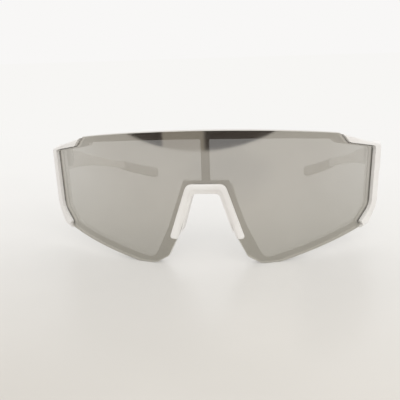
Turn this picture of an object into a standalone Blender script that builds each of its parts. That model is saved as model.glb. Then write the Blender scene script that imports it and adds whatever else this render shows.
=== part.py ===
"""Shield sports glasses standing on a table with the temples open.

The front faces -Y, +X is the wearer's left and +Z is up. The origin is the middle of the footprint.
Pieces of the front are drawn flat, as a width along the wrap, a depth behind the lens and a height,
and are then wrapped onto the lens cylinder.
"""

import math

import bmesh
import bpy
from mathutils import Vector

MM = 0.001

# Whole object
OVERALL_DEPTH = 152.0 * MM
FIT_GAP = 0.3 * MM
OVERRUN = 2.0 * MM
MERGE = 0.002 * MM
NEARLY_STRAIGHT = math.radians(0.5)
SMOOTH_ANGLE = math.radians(35)

# Wrap: the lens front is a cylinder about a vertical axis, leaning back a little
WRAP_RADIUS = 99.0 * MM
LEAN = math.radians(1.5)
STATION = 4.0 * MM
ARC_STEP = math.radians(24)

# Lens shield
LENS_HALF_WIDTH = 77.8 * MM
LENS_HEIGHT = 56.4 * MM
LENS_THICKNESS = 1.8 * MM
LENS_CORNER_RADIUS = 3.0 * MM
LENS_EDGE_CHAMFER = 0.25 * MM
CROWN_POINTS = 9
# Right half from the brow to the nose: share of the half width, of the height, of the corner radius
LENS_CORNER_shares = {
    "shoulder": (0.739, 0.917, 0.5),
    "notch": (0.794, 0.833, 0.5),
    "temple_corner": (1.0, 0.770, 0.5),
    "side_kink": (0.982, 0.312, 2.0),
    "lower_notch": (0.895, 0.201, 0.2),
    "nib": (0.916, 0.171, 0.2),
    "nib_end": (0.896, 0.149, 0.2),
    "tip_outer": (0.389, 0.0, 1.2),
    "tip_inner": (0.290, 0.0, 1.0),
    "nose_foot": (0.212, 0.064, 0.6),
    "nose_bend": (0.1495, 0.236, 2.5),
    "nose_top": (0.0737, 0.569, 0.6),
}

# Frame front
FRAME_DEPTH = 2.5 * MM
FRAME_INSET = 0.4 * MM
FRAME_CHAMFER = 0.5 * MM
LOWER_OVERHANG = 0.1 * MM
WING_REACH = 4.4 * MM
WING_FOOT_REACH = 3.8 * MM
WING_PROUD = 1.2 * MM
BROW_HEIGHT = 3.9 * MM
BROW_SIDE_HEIGHT = 2.8 * MM
BROW_EXTRA_DEPTH = 1.4 * MM
BROW_CHAMFER = 0.6 * MM
BROW_STEP = 0.15 * MM
SIDE_LIP = 0.7 * MM
SIDE_DRAFT = 1.8 * MM
LOWER_RIM = 2.6 * MM
NOSE_RIM = 5.7 * MM
NOSE_RIM_TAPER = 1.0 * MM
ARCH_RIM = 3.6 * MM
POST_WIDTH = 3.5 * MM
POST_CORNER_RADIUS = 0.5 * MM
WINDOW_CORNER_RADIUS = 1.6 * MM
WINDOW_TIP_RADIUS = 4.0 * MM

# Nose bridge clip, a channel that grips the lens and the frame round the nose gap
CLIP_FLANGE = 2.8 * MM
CLIP_FLANGE_AT_FOOT = 3.3 * MM
CLIP_FLANGE_THICKNESS = 1.0 * MM
CLIP_STEP = 0.7 * MM
CLIP_RIDGE_STEP = 0.4 * MM
CLIP_LEDGE = 0.12 * MM
CLIP_WEB = 0.9 * MM
CLIP_WEB_AT_LEG = 0.45 * MM
CLIP_REAR_FLANGE = 2.2 * MM
CLIP_REAR_THICKNESS = 1.2 * MM
CLIP_CORNER_RADIUS = 3.0 * MM
CLIP_INNER_RADIUS = 2.1 * MM
CLIP_END_RADIUS = 1.1 * MM
CLIP_CHAMFER = 0.35 * MM
FLANGE_FOOT_share = 0.207
WEB_FOOT_share = 0.257
REAR_FOOT_share = 0.250

# Nose pads, soft and pushed over tongues of the clip
PAD_DEPTH = 9.0 * MM
PAD_THICKNESS = 3.8 * MM
PAD_EDGE_THICKNESS = 2.4 * MM
PAD_FLARE = 2.6 * MM
PAD_OFFSET = 1.3 * MM
PAD_STATIONS = 5
PAD_LOW_share = 0.240
PAD_HIGH_share = 0.530
TONGUE_DEPTH = 5.6 * MM
TONGUE_THICKNESS = 1.2 * MM
TONGUE_LOW_share = 0.310
TONGUE_HIGH_share = 0.470

# End pieces, which carry the hinges
END_PIECE_THICKNESS = 4.0 * MM
END_PIECE_HEIGHT = 12.7 * MM
END_PIECE_LENGTH = 9.1 * MM
END_PIECE_FLARE = 1.0 * MM
END_PIECE_ROOT = 2.8 * MM
END_PIECE_RADIUS = 1.1 * MM
END_PIECE_STATIONS = 7
WING_TOP_RISE = 0.15 * MM

# Hinges
HINGE_GAP = 0.15 * MM
BARREL_RADIUS = 1.6 * MM
LEAF_HEIGHT = 7.2 * MM
LEAF_LENGTH = 7.6 * MM
LEAF_THICKNESS = 0.8 * MM
LEAF_PROUD = 0.4 * MM
SCREW_RADIUS = 0.7 * MM
SCREW_HEAD_RADIUS = 1.25 * MM
SCREW_HEAD_HEIGHT = 0.8 * MM
SCREW_SLOT_WIDTH = 0.4 * MM
SCREW_SLOT_DEPTH = 0.4 * MM
RIVET_RADIUS = 0.6 * MM
RIVET_HEAD_RADIUS = 1.1 * MM
RIVET_HEAD_HEIGHT = 0.45 * MM
RIVET_LENGTH = 2.6 * MM
RIVET_FIRST_share = 0.40
RIVET_SECOND_share = 0.80
ROUND_SIDES = 20
RIVET_SIDES = 10

# Temples
TIP_SPREAD = 99.0 * MM
TIP_CENTRE_HEIGHT = 2.1 * MM
TEMPLE_THIN = 3.0 * MM
TEMPLE_SLIM_HEIGHT = 4.4 * MM
TEMPLE_RADIUS = 1.2 * MM
TEMPLE_INWARD_share = 0.55
TEMPLE_DROP_share = 0.79
TEMPLE_TAPER_share = 0.62
TEMPLE_STATIONS = 15
SLEEVE_START_share = 0.60
TANG_END_share = 0.80
TANG_THICKNESS = 1.6 * MM
TANG_HEIGHT = 2.6 * MM
SLEEVE_THICKNESS = 4.0 * MM
SLEEVE_HEIGHT = 5.4 * MM
SLEEVE_END_HEIGHT = 7.0 * MM
SLEEVE_RADIUS = 1.5 * MM
SLEEVE_END_LENGTH = 3.4 * MM
SLEEVE_STATIONS = 7
SLEEVE_END_STATIONS = 4
RIB_COUNT = 7
RIB_PITCH = 3.0 * MM
RIB_HEIGHT = 0.45 * MM
RIB_START_share = 0.66
ARC_POINTS = 4

# Depths behind the lens front, worked out from the sizes above
FRAME_FRONT = LENS_THICKNESS + FIT_GAP
FRAME_BACK = FRAME_FRONT + FRAME_DEPTH
BROW_BACK = FRAME_BACK + BROW_EXTRA_DEPTH
CLIP_FRONT = -FIT_GAP - CLIP_FLANGE_THICKNESS
CLIP_BACK = FRAME_BACK + FIT_GAP + CLIP_REAR_THICKNESS
PAD_FRONT = CLIP_BACK + FIT_GAP

# Where the wings end, from the lens's temple corner, and the height of the hinges
WING_END = LENS_HALF_WIDTH + WING_REACH
END_PIECE_TOP = LENS_HEIGHT * LENS_CORNER_shares["temple_corner"][1] + WING_TOP_RISE
HINGE_Z = END_PIECE_TOP - END_PIECE_HEIGHT / 2

COLOURS = {
    "white_nylon": ((0.86, 0.85, 0.83), 0.38, 0.0),
    "mirror_lens": ((0.46, 0.45, 0.42), 0.06, 1.0),
    "soft_white": ((0.78, 0.77, 0.75), 0.70, 0.0),
    "grey_rubber": ((0.52, 0.52, 0.52), 0.80, 0.0),
    "steel": ((0.62, 0.62, 0.62), 0.28, 1.0),
}


# Outlines. A corner is (width, height, radius), and an outline runs clockwise seen from the front.

def lens_corner(name):
    s_share, z_share, r_share = LENS_CORNER_shares[name]
    return (LENS_HALF_WIDTH * s_share, LENS_HEIGHT * z_share, LENS_CORNER_RADIUS * r_share)


def crown(half_width, side_height, top_height, from_centre=False):
    """Points of the brow's arc between the shoulders, or from the centre to the right shoulder."""
    first = 0 if from_centre else 1 - CROWN_POINTS
    points = []
    for i in range(first, CROWN_POINTS):
        share = i / CROWN_POINTS
        points.append((half_width * share, top_height - (top_height - side_height) * share**2, 0))
    return points


def mirrored(corners):
    return [(-s, z, r) for s, z, r in reversed(corners)]


def offset(corners, widths):
    """Moves each edge of a clockwise outline inward. Edge i runs from corner i to the next one."""
    count = len(corners)
    lines = []
    for i in range(count):
        a, b = Vector(corners[i][:2]), Vector(corners[(i + 1) % count][:2])
        along = (b - a).normalized()
        lines.append((a + Vector((along.y, -along.x)) * widths[i], along))
    moved = []
    for i in range(count):
        (p, u), (q, v) = lines[i - 1], lines[i]
        cross = u.x * v.y - u.y * v.x
        if abs(cross) < math.sin(NEARLY_STRAIGHT):
            point = q
        else:
            point = p + u * (((q - p).x * v.y - (q - p).y * v.x) / cross)
        moved.append((point.x, point.y, corners[i][2]))
    return moved


def rounded(corners):
    """Turns the corners of an outline into points, with an arc of its radius at each corner."""
    points = []
    count = len(corners)
    for i, (s, z, radius) in enumerate(corners):
        here = Vector((s, z))
        if radius <= 0:
            points.append(here)
            continue
        back = Vector(corners[i - 1][:2]) - here
        ahead = Vector(corners[(i + 1) % count][:2]) - here
        reach = min(back.length, ahead.length) / 2
        back.normalize()
        ahead.normalize()
        half = back.angle(ahead) / 2
        cut = min(radius / math.tan(half), reach)
        radius = cut * math.tan(half)
        centre = here + (back + ahead).normalized() * (radius / math.sin(half))
        start, end = here + back * cut - centre, here + ahead * cut - centre
        steps = max(1, round((math.pi - 2 * half) / ARC_STEP))
        turn = start.angle_signed(end)
        for k in range(steps + 1):
            angle = math.atan2(start.y, start.x) - turn * k / steps
            points.append(centre + Vector((math.cos(angle), math.sin(angle))) * radius)
    return points


def lens_outline():
    names = list(LENS_CORNER_shares)
    half = [lens_corner(name) for name in names]
    top = crown(half[0][0], half[0][1], LENS_HEIGHT)
    return top + half + mirrored(half)


def frame_outline():
    """The frame follows the lens just inside its edge, and its wings stand out past the lens's sides."""
    names = ["shoulder", "temple_corner", "side_kink", "nib_end", "tip_outer", "tip_inner",
             "nose_foot", "nose_bend", "nose_top"]
    half = [lens_corner(name) for name in names]
    widths = [0, -WING_REACH, -WING_FOOT_REACH, -LOWER_OVERHANG, 0, 0, FIT_GAP, FIT_GAP]
    top = crown(half[0][0], half[0][1], LENS_HEIGHT)
    corners = top + half + mirrored(half)
    left = widths[::-1]
    moved = offset(corners, [FRAME_INSET] * len(top) + widths + [FIT_GAP] + left + [FRAME_INSET])
    for side, first, second in ((1, len(top), len(top) + 1), (-1, -1, -2)):
        moved[first] = (side * half[0][0], half[0][1] - FRAME_INSET, half[0][2])
        moved[second] = (side * WING_END, END_PIECE_TOP, half[1][2])
    return moved


def window_outline(draft=0):
    """Right window of the frame, between the centre post, the brow, the side lip and the rims."""
    shoulder, notch, corner, kink = [
        lens_corner(name) for name in ("shoulder", "notch", "temple_corner", "side_kink")]
    low = crossing("side_kink", "lower_notch", "nib_end", "tip_outer")
    tip = crossing("nib_end", "tip_outer", "nose_foot", "nose_bend")
    bend, arch = lens_corner("nose_bend"), lens_corner("nose_top")
    shoulder = (shoulder[0], shoulder[1] + BROW_HEIGHT - BROW_SIDE_HEIGHT, 0)
    top = crown(shoulder[0], shoulder[1], LENS_HEIGHT, from_centre=True)
    arch = (arch[0] - NOSE_RIM_TAPER, arch[1], 0)
    corners = top + [shoulder, notch, corner, kink, low, tip, bend, arch, (0, arch[1], 0)]
    widths = [BROW_HEIGHT] * (len(top) + 1) + [SIDE_LIP] + [SIDE_LIP - draft] * 2 + [
        LOWER_RIM, NOSE_RIM, NOSE_RIM, ARCH_RIM, POST_WIDTH / 2]
    radii = [POST_CORNER_RADIUS] + [0] * len(top) + [WINDOW_CORNER_RADIUS] * 2 + [
        0, WINDOW_CORNER_RADIUS, WINDOW_TIP_RADIUS, 0, POST_CORNER_RADIUS, POST_CORNER_RADIUS]
    return [(s, z, radius) for (s, z, _), radius in zip(offset(corners, widths), radii)]


def crossing(a, b, c, d):
    """Where the line through lens corners a and b meets the line through c and d."""
    p, q = Vector(lens_corner(a)[:2]), Vector(lens_corner(b)[:2])
    u, v = Vector(lens_corner(c)[:2]), Vector(lens_corner(d)[:2])
    along, other = q - p, v - u
    share = ((u - p).x * other.y - (u - p).y * other.x) / (along.x * other.y - along.y * other.x)
    point = p + along * share
    return (point.x, point.y, 0)


def brow_outline():
    """Band between the top of the frame and the top of the windows, from wing to wing."""
    frame, window = frame_outline(), window_outline()
    top_count = 2 * CROWN_POINTS - 1
    right_top = frame[top_count:top_count + 2]
    crown_part = window[:CROWN_POINTS]
    right_low = window[CROWN_POINTS:CROWN_POINTS + 3][::-1] + crown_part[1:][::-1]
    centre_low = [(0, window[0][1], 0)]
    low = [(s, z, 0) for s, z, _ in right_low + centre_low] + [
        (-s, z, 0) for s, z, _ in right_low[::-1]]
    left_top = [(-s, z, r) for s, z, r in right_top[::-1]]
    corners = frame[:top_count] + [(s, z, 0) for s, z, _ in right_top] + low
    corners += [(s, z, 0) for s, z, _ in left_top]
    top_edges = top_count + len(right_top)
    low_edges = len(low) - 1
    widths = [BROW_STEP] * top_edges + [BROW_STEP + FRAME_CHAMFER] * low_edges
    return offset(corners, widths + [BROW_STEP] * (len(corners) - len(widths)))


def nose_polygon(foot_share):
    """The lens's nose gap down to a height, as top left, top right, foot right and foot left."""
    top, bend = lens_corner("nose_top"), lens_corner("nose_bend")
    foot_z = LENS_HEIGHT * foot_share
    foot_s = top[0] + (bend[0] - top[0]) * (top[1] - foot_z) / (top[1] - bend[1])
    return [(-top[0], top[1], 0), (top[0], top[1], 0), (foot_s, foot_z, 0), (-foot_s, foot_z, 0)]


def nose_band(foot_share, outer, outer_foot, inner, inner_leg, inner_foot):
    """U-shaped band round the nose gap. The widths count from the lens's edge into the gap."""
    gap = nose_polygon(foot_share)
    out = offset(gap, [outer, outer, 0, outer])
    out_foot = offset(gap, [outer, outer_foot, 0, outer_foot])
    top = offset(gap, [inner, inner_leg, 0, inner_leg])
    foot = offset(gap, [inner, inner_foot, 0, inner_foot])
    big, small, end = CLIP_CORNER_RADIUS, CLIP_INNER_RADIUS, CLIP_END_RADIUS
    band = [(out_foot[3], end), (out[0], big), (out[1], big), (out_foot[2], end),
            (foot[2], end / 2), (top[1], small), (top[0], small), (foot[3], end / 2)]
    return [(place[0], place[1], radius) for place, radius in band]


# Solids

def new_object(name, bm):
    mesh = bpy.data.meshes.new(name)
    bm.normal_update()
    bm.to_mesh(mesh)
    bm.free()
    thing = bpy.data.objects.new(name, mesh)
    bpy.context.scene.collection.objects.link(thing)
    return thing


def loft(rings, closed_ends=True):
    """Skins closed rings of equal length, in order, and caps the two ends."""
    bm = bmesh.new()
    loops = [[bm.verts.new(point) for point in ring] for ring in rings]
    for low, high in zip(loops, loops[1:]):
        for k in range(len(low)):
            after = (k + 1) % len(low)
            bm.faces.new((low[k], low[after], high[after], high[k]))
    if closed_ends:
        bm.faces.new(loops[0][::-1])
        bm.faces.new(loops[-1])
    bmesh.ops.recalc_face_normals(bm, faces=bm.faces)
    return bm


def plate(layers):
    """Loft of flat outlines, each given as (corners, depth behind the lens front)."""
    return loft([[(p.x, depth, p.y) for p in rounded(corners)] for corners, depth in layers])


def inset(corners, width):
    return offset(corners, [width] * len(corners))


def chamfered_plate(corners, front, back, front_chamfer, back_chamfer):
    layers = []
    if front_chamfer:
        layers.append((inset(corners, front_chamfer), front))
    layers += [(corners, front + front_chamfer), (corners, back - back_chamfer)]
    if back_chamfer:
        layers.append((inset(corners, back_chamfer), back))
    return plate(layers)


def combine(target, tool, operation):
    """Applies an exact Boolean of two objects to the first and removes the second."""
    step = target.modifiers.new(operation.lower(), "BOOLEAN")
    step.solver = "EXACT"
    step.operation = operation
    step.object = tool
    tool.display_type = "WIRE"
    tool.hide_render = True
    bpy.context.view_layer.update()
    evaluated = target.evaluated_get(bpy.context.evaluated_depsgraph_get())
    mesh = bpy.data.meshes.new_from_object(evaluated)
    target.modifiers.clear()
    target.data = mesh
    bpy.data.objects.remove(tool)
    return target


def cut(target, bm):
    return combine(target, new_object("cutter", bm), "DIFFERENCE")


def join(target, bm):
    return combine(target, new_object("addition", bm), "UNION")


def wrapped(s, depth, z):
    """Flat width, depth and height to their place on the leaning lens cylinder."""
    angle = s / WRAP_RADIUS
    radius = WRAP_RADIUS - depth
    y = FRONT_Y + WRAP_RADIUS - radius * math.cos(angle) + math.tan(LEAN) * z
    return Vector((radius * math.sin(angle), y, z))


def wrap(thing):
    """Cuts a flat piece into upright strips and wraps it onto the lens cylinder."""
    bm = bmesh.new()
    bm.from_mesh(thing.data)
    bmesh.ops.remove_doubles(bm, verts=bm.verts, dist=MERGE)
    reach = max(abs(vert.co.x) for vert in bm.verts)
    count = int(reach / STATION)
    for i in range(-count, count + 1):
        everything = bm.verts[:] + bm.edges[:] + bm.faces[:]
        bmesh.ops.bisect_plane(bm, geom=everything, dist=MERGE, plane_co=(STATION * i, 0, 0),
                               plane_no=(1, 0, 0))
    for vert in bm.verts:
        vert.co = wrapped(vert.co.x, vert.co.y, vert.co.z)
    bm.to_mesh(thing.data)
    bm.free()


# Where the front stands, from the foremost edge of the ridge on the nose clip's arch
ARCH_LOW = lens_corner("nose_top")[1] + CLIP_RIDGE_STEP + CLIP_CHAMFER
FRONT_Y = -OVERALL_DEPTH / 2 - CLIP_FRONT - math.tan(LEAN) * ARCH_LOW

# Hinge line, from the end of the wing
WING_POINT = wrapped(WING_END, -WING_PROUD, HINGE_Z)
OUTER_X = WING_POINT.x + END_PIECE_FLARE
INNER_X = OUTER_X - END_PIECE_THICKNESS
LEAF_INNER_X = INNER_X - LEAF_PROUD
HINGE_X = LEAF_INNER_X + LEAF_THICKNESS - BARREL_RADIUS
HINGE_Y = WING_POINT.y + END_PIECE_LENGTH
TIP_Y = OVERALL_DEPTH / 2


def rect_ring(low_u, high_u, low_v, high_v, radius, place):
    """Rounded rectangle between two spans, with place(u, v) giving each point in space."""
    radius = min(radius, (high_u - low_u) / 2, (high_v - low_v) / 2)
    centres = [(high_u - radius, high_v - radius, 0), (low_u + radius, high_v - radius, 1),
               (low_u + radius, low_v + radius, 2), (high_u - radius, low_v + radius, 3)]
    ring = []
    for u, v, quarter in centres:
        for k in range(ARC_POINTS):
            angle = (quarter + k / (ARC_POINTS - 1)) * math.pi / 2
            ring.append(place(u + radius * math.cos(angle), v + radius * math.sin(angle)))
    return ring


def box(low, high):
    """Box between two corners."""
    bm = bmesh.new()
    bmesh.ops.create_cube(bm, size=1)
    low, high = Vector(low), Vector(high)
    for vert in bm.verts:
        share = vert.co + Vector((1, 1, 1)) / 2
        vert.co = Vector([a + (b - a) * k for a, b, k in zip(low, high, share)])
    return bm


def upright_cylinder(x, y, low, high, radius):
    """Cylinder about a vertical line."""
    turn = 2 * math.pi / ROUND_SIDES
    rings = [[(x + radius * math.cos(turn * k), y + radius * math.sin(turn * k), z)
              for k in range(ROUND_SIDES)] for z in (low, high)]
    return loft(rings)


def cross_cylinder(y, z, side, spans):
    """Stepped cylinder about a line along X. Each span is (x, radius), in order from the middle out."""
    turn = 2 * math.pi / RIVET_SIDES
    rings = [[(side * x, y + radius * math.cos(turn * k), z + radius * math.sin(turn * k))
              for k in range(RIVET_SIDES)] for x, radius in spans]
    return loft(rings)


def sided(points, side):
    return [(side * x, y, z) for x, y, z in points]


# Front pieces

def make_lens():
    corners = lens_outline()
    lens = new_object("lens_shield", chamfered_plate(
        corners, 0, LENS_THICKNESS, LENS_EDGE_CHAMFER, LENS_EDGE_CHAMFER))
    wrap(lens)
    return lens


def end_piece(side):
    """Swept block from the end of the wing back to the hinge plane."""
    root_s = WING_END - END_PIECE_ROOT
    outer_start = wrapped(root_s, FRAME_CHAMFER / 2 - WING_PROUD, HINGE_Z)
    inner_start = wrapped(root_s, FRAME_BACK - FRAME_CHAMFER / 2, HINGE_Z)
    angle = root_s / WRAP_RADIUS
    back_y = HINGE_Y - FIT_GAP / 2
    low, high = END_PIECE_TOP - END_PIECE_HEIGHT, END_PIECE_TOP
    rings = []
    for i in range(END_PIECE_STATIONS + 1):
        t = i / END_PIECE_STATIONS
        edges = []
        for start, end_x in ((outer_start, OUTER_X), (inner_start, INNER_X)):
            bend_y = start.y + (end_x - start.x) * math.tan(angle)
            points = (start.x, start.y), (end_x, bend_y), (end_x, back_y)
            shares = (1 - t) ** 2, 2 * t * (1 - t), t**2
            edges.append(Vector([sum(k * p[axis] for k, p in zip(shares, points))
                                 for axis in (0, 1)]))
        outer, inner = edges
        across = outer - inner
        wide = across.length
        across.normalize()
        ring = rect_ring(0, wide, low, high, END_PIECE_RADIUS,
                         lambda u, v: (inner.x + across.x * u, inner.y + across.y * u, v))
        rings.append(sided(ring, side))
    return loft(rings)


def hinge_relief(side):
    """Round clearance for the knuckles and the screw's head, cut into the end piece and the arm."""
    low = HINGE_Z - LEAF_HEIGHT / 2 - FIT_GAP
    high = HINGE_Z + LEAF_HEIGHT / 2 + SCREW_HEAD_HEIGHT + 2 * FIT_GAP
    return upright_cylinder(side * HINGE_X, HINGE_Y, low, high, BARREL_RADIUS + FIT_GAP)


def leaf_recess(side, along):
    """Pocket for a leaf in the inner face. along is -1 on the end piece and 1 on the arm."""
    half = LEAF_HEIGHT / 2 + FIT_GAP
    xs = sorted((side * (INNER_X - 2 * OVERRUN), side * (LEAF_INNER_X + LEAF_THICKNESS + FIT_GAP)))
    ys = sorted((HINGE_Y - along * OVERRUN, HINGE_Y + along * (LEAF_LENGTH + FIT_GAP)))
    return box((xs[0], ys[0], HINGE_Z - half), (xs[1], ys[1], HINGE_Z + half))


def rivet_places(along):
    return [HINGE_Y + along * LEAF_LENGTH * share for share in (RIVET_FIRST_share, RIVET_SECOND_share)]


def rivet_hole(side, y):
    hole = RIVET_RADIUS + HINGE_GAP
    return cross_cylinder(y, HINGE_Z, side, [
        (LEAF_INNER_X - OVERRUN, hole), (LEAF_INNER_X + RIVET_LENGTH + FIT_GAP, hole)])


def make_frame():
    outline = frame_outline()
    frame = new_object("frame_front", chamfered_plate(
        outline, -WING_PROUD, FRAME_BACK, FRAME_CHAMFER, FRAME_CHAMFER))
    lens = lens_outline()
    cut(frame, plate([(offset(lens, [-FIT_GAP] * len(lens)), -OVERRUN),
                      (offset(lens, [-FIT_GAP] * len(lens)), FRAME_FRONT)]))
    front, back = window_outline(), window_outline(SIDE_DRAFT)
    for outline, wide in ((front, back), (mirrored(front), mirrored(back))):
        flare = inset(wide, -FRAME_CHAMFER)
        cut(frame, plate([(outline, FRAME_FRONT - OVERRUN), (outline, FRAME_FRONT),
                          (wide, FRAME_BACK - FRAME_CHAMFER), (flare, FRAME_BACK),
                          (flare, BROW_BACK + OVERRUN)]))
    join(frame, chamfered_plate(
        brow_outline(), FRAME_BACK - FRAME_DEPTH / 2, BROW_BACK, 0, BROW_CHAMFER))
    wrap(frame)
    for side in (1, -1):
        join(frame, end_piece(side))
        cut(frame, hinge_relief(side))
        cut(frame, leaf_recess(side, -1))
        for y in rivet_places(-1):
            cut(frame, rivet_hole(side, y))
    return frame


def leg_frame(side):
    """The lens's nose edge on one side: a point on it, the way up along it and the way into the lens."""
    foot, top = nose_polygon(0)[2], nose_polygon(0)[1]
    up = Vector((top[0] - foot[0], top[1] - foot[1]))
    start = Vector(foot[:2])
    up.normalize()
    out = Vector((up.y, -up.x))
    if side < 0:
        start.x, up.x, out.x = -start.x, -up.x, -out.x
    return start, up, out


def leg_ring(side, depth, low_share, high_share, offset_out, thickness, radius):
    """Rounded strip beside the nose edge, at a depth, from one height share of the lens to another."""
    start, up, out = leg_frame(side)
    low = LENS_HEIGHT * low_share / up.y
    high = LENS_HEIGHT * high_share / up.y

    def place(u, v):
        point = start + up * u + out * v
        return (point.x, depth, point.y)

    return rect_ring(low, high, offset_out - thickness / 2, offset_out + thickness / 2, radius, place)


def pad_offset(depth):
    """How far the pad's middle lies outside the nose edge, growing towards the face."""
    return PAD_OFFSET + PAD_FLARE * max(0, depth - PAD_FRONT) / PAD_DEPTH


def tongue(side, grow):
    low = TONGUE_LOW_share - grow / LENS_HEIGHT
    high = TONGUE_HIGH_share + grow / LENS_HEIGHT
    thick = TONGUE_THICKNESS + 2 * grow
    depths = CLIP_BACK - CLIP_REAR_THICKNESS / 2, PAD_FRONT, PAD_FRONT + TONGUE_DEPTH + grow
    return loft([leg_ring(side, depth, low, high, pad_offset(depth), thick, thick / 2)
                 for depth in depths])


def make_clip():
    arch, leg = FIT_GAP + CLIP_WEB, FIT_GAP + CLIP_WEB_AT_LEG
    ridge = nose_band(FLANGE_FOOT_share, -CLIP_FLANGE, -CLIP_FLANGE_AT_FOOT,
                      -CLIP_RIDGE_STEP, -CLIP_RIDGE_STEP, -CLIP_RIDGE_STEP)
    front = nose_band(FLANGE_FOOT_share, -CLIP_FLANGE, -CLIP_FLANGE_AT_FOOT,
                      arch - CLIP_LEDGE, leg - CLIP_LEDGE, 0)
    web = nose_band(WEB_FOOT_share, FIT_GAP, FIT_GAP, arch, leg, leg)
    rear = nose_band(REAR_FOOT_share, -CLIP_REAR_FLANGE, -CLIP_REAR_FLANGE,
                     arch - CLIP_LEDGE, leg - CLIP_LEDGE, leg - CLIP_LEDGE)
    clip = new_object("nose_bridge_clip", plate([
        (inset(ridge, CLIP_CHAMFER), CLIP_FRONT), (ridge, CLIP_FRONT + CLIP_CHAMFER),
        (front, CLIP_FRONT + CLIP_STEP), (front, -FIT_GAP)]))
    join(clip, plate([(web, (CLIP_FRONT + CLIP_STEP - FIT_GAP) / 2), (web, CLIP_BACK)]))
    join(clip, plate([(rear, FRAME_BACK + FIT_GAP), (rear, CLIP_BACK)]))
    for side in (1, -1):
        join(clip, tongue(side, 0))
    wrap(clip)
    return clip


def make_pad(side, name):
    rings = []
    for i in range(PAD_STATIONS + 1):
        share = i / PAD_STATIONS
        depth = PAD_FRONT + PAD_DEPTH * share
        thick = PAD_THICKNESS + (PAD_EDGE_THICKNESS - PAD_THICKNESS) * share
        rings.append(leg_ring(side, depth, PAD_LOW_share, PAD_HIGH_share, pad_offset(depth),
                              thick, thick / 2))
    edge = PAD_EDGE_THICKNESS / 3
    depth = PAD_FRONT + PAD_DEPTH + edge
    rings.append(leg_ring(side, depth, PAD_LOW_share + edge / LENS_HEIGHT,
                          PAD_HIGH_share - edge / LENS_HEIGHT, pad_offset(depth), edge, edge / 2))
    pad = new_object(name, loft(rings))
    cut(pad, tongue(side, FIT_GAP))
    wrap(pad)
    return pad


# Hinges

def make_leaf(side, along, name):
    """A leaf and its knuckles: two on the end piece's leaf (along -1), one on the arm's."""
    half = LEAF_HEIGHT / 2
    knuckle = (LEAF_HEIGHT - 2 * HINGE_GAP) / 3
    xs = sorted((side * LEAF_INNER_X, side * (LEAF_INNER_X + LEAF_THICKNESS)))
    ys = sorted((HINGE_Y, HINGE_Y + along * LEAF_LENGTH))
    leaf = new_object(name, box((xs[0], ys[0], HINGE_Z - half), (xs[1], ys[1], HINGE_Z + half)))
    join(leaf, upright_cylinder(side * HINGE_X, HINGE_Y, HINGE_Z - half, HINGE_Z + half, BARREL_RADIUS))
    clear = BARREL_RADIUS + HINGE_GAP
    if along < 0:
        spans = [(HINGE_Z - knuckle / 2 - HINGE_GAP, HINGE_Z + knuckle / 2 + HINGE_GAP)]
    else:
        spans = [(HINGE_Z - half - OVERRUN, HINGE_Z - knuckle / 2),
                 (HINGE_Z + knuckle / 2, HINGE_Z + half + OVERRUN)]
    for low, high in spans:
        cut(leaf, upright_cylinder(side * HINGE_X, HINGE_Y, low, high, clear))
    cut(leaf, upright_cylinder(side * HINGE_X, HINGE_Y, HINGE_Z - half - OVERRUN,
                               HINGE_Z + half + OVERRUN, SCREW_RADIUS + HINGE_GAP))
    for y in rivet_places(along):
        cut(leaf, rivet_hole(side, y))
    return leaf


def make_screw(side, name):
    base = HINGE_Z - LEAF_HEIGHT / 2
    seat = HINGE_Z + LEAF_HEIGHT / 2 + HINGE_GAP
    x = side * HINGE_X
    shank_top = seat + SCREW_HEAD_HEIGHT / 2
    screw = new_object(name, upright_cylinder(x, HINGE_Y, base, shank_top, SCREW_RADIUS))
    join(screw, upright_cylinder(x, HINGE_Y, seat, seat + SCREW_HEAD_HEIGHT, SCREW_HEAD_RADIUS))
    half, top = SCREW_SLOT_WIDTH / 2, seat + SCREW_HEAD_HEIGHT
    cut(screw, box((x - SCREW_HEAD_RADIUS - OVERRUN, HINGE_Y - half, top - SCREW_SLOT_DEPTH),
                   (x + SCREW_HEAD_RADIUS + OVERRUN, HINGE_Y + half, top + OVERRUN)))
    return screw


def make_rivet(side, y, name):
    under_head = LEAF_INNER_X - HINGE_GAP
    return new_object(name, cross_cylinder(y, HINGE_Z, side, [
        (under_head - RIVET_HEAD_HEIGHT, RIVET_HEAD_RADIUS * 3 / 4),
        (under_head - RIVET_HEAD_HEIGHT / 2, RIVET_HEAD_RADIUS),
        (under_head, RIVET_HEAD_RADIUS), (under_head, RIVET_RADIUS),
        (LEAF_INNER_X + RIVET_LENGTH, RIVET_RADIUS)]))


# Temples

def blend(start, end, share, straight):
    """From start to end, partly straight and partly bending more and more."""
    return start + (end - start) * (straight * share + (1 - straight) * share**2)


def temple_centre(share):
    start_x = OUTER_X - END_PIECE_THICKNESS / 2
    x = blend(start_x, TIP_SPREAD / 2, share, TEMPLE_INWARD_share)
    y = HINGE_Y + FIT_GAP / 2 + (TIP_Y - HINGE_Y - FIT_GAP / 2) * share
    z = blend(HINGE_Z, TIP_CENTRE_HEIGHT, share, TEMPLE_DROP_share)
    return x, y, z


def temple_section(share):
    """Thickness and height of the arm, slimming towards the ear."""
    left = max(0, 1 - share / TEMPLE_TAPER_share) ** 3
    thickness = TEMPLE_THIN + (END_PIECE_THICKNESS - TEMPLE_THIN) * left
    height = TEMPLE_SLIM_HEIGHT + (END_PIECE_HEIGHT - TEMPLE_SLIM_HEIGHT) * left
    return thickness, height


def sleeve_height(share):
    part = (share - SLEEVE_START_share) / (1 - SLEEVE_START_share)
    return SLEEVE_HEIGHT + (SLEEVE_END_HEIGHT - SLEEVE_HEIGHT) * part


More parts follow.
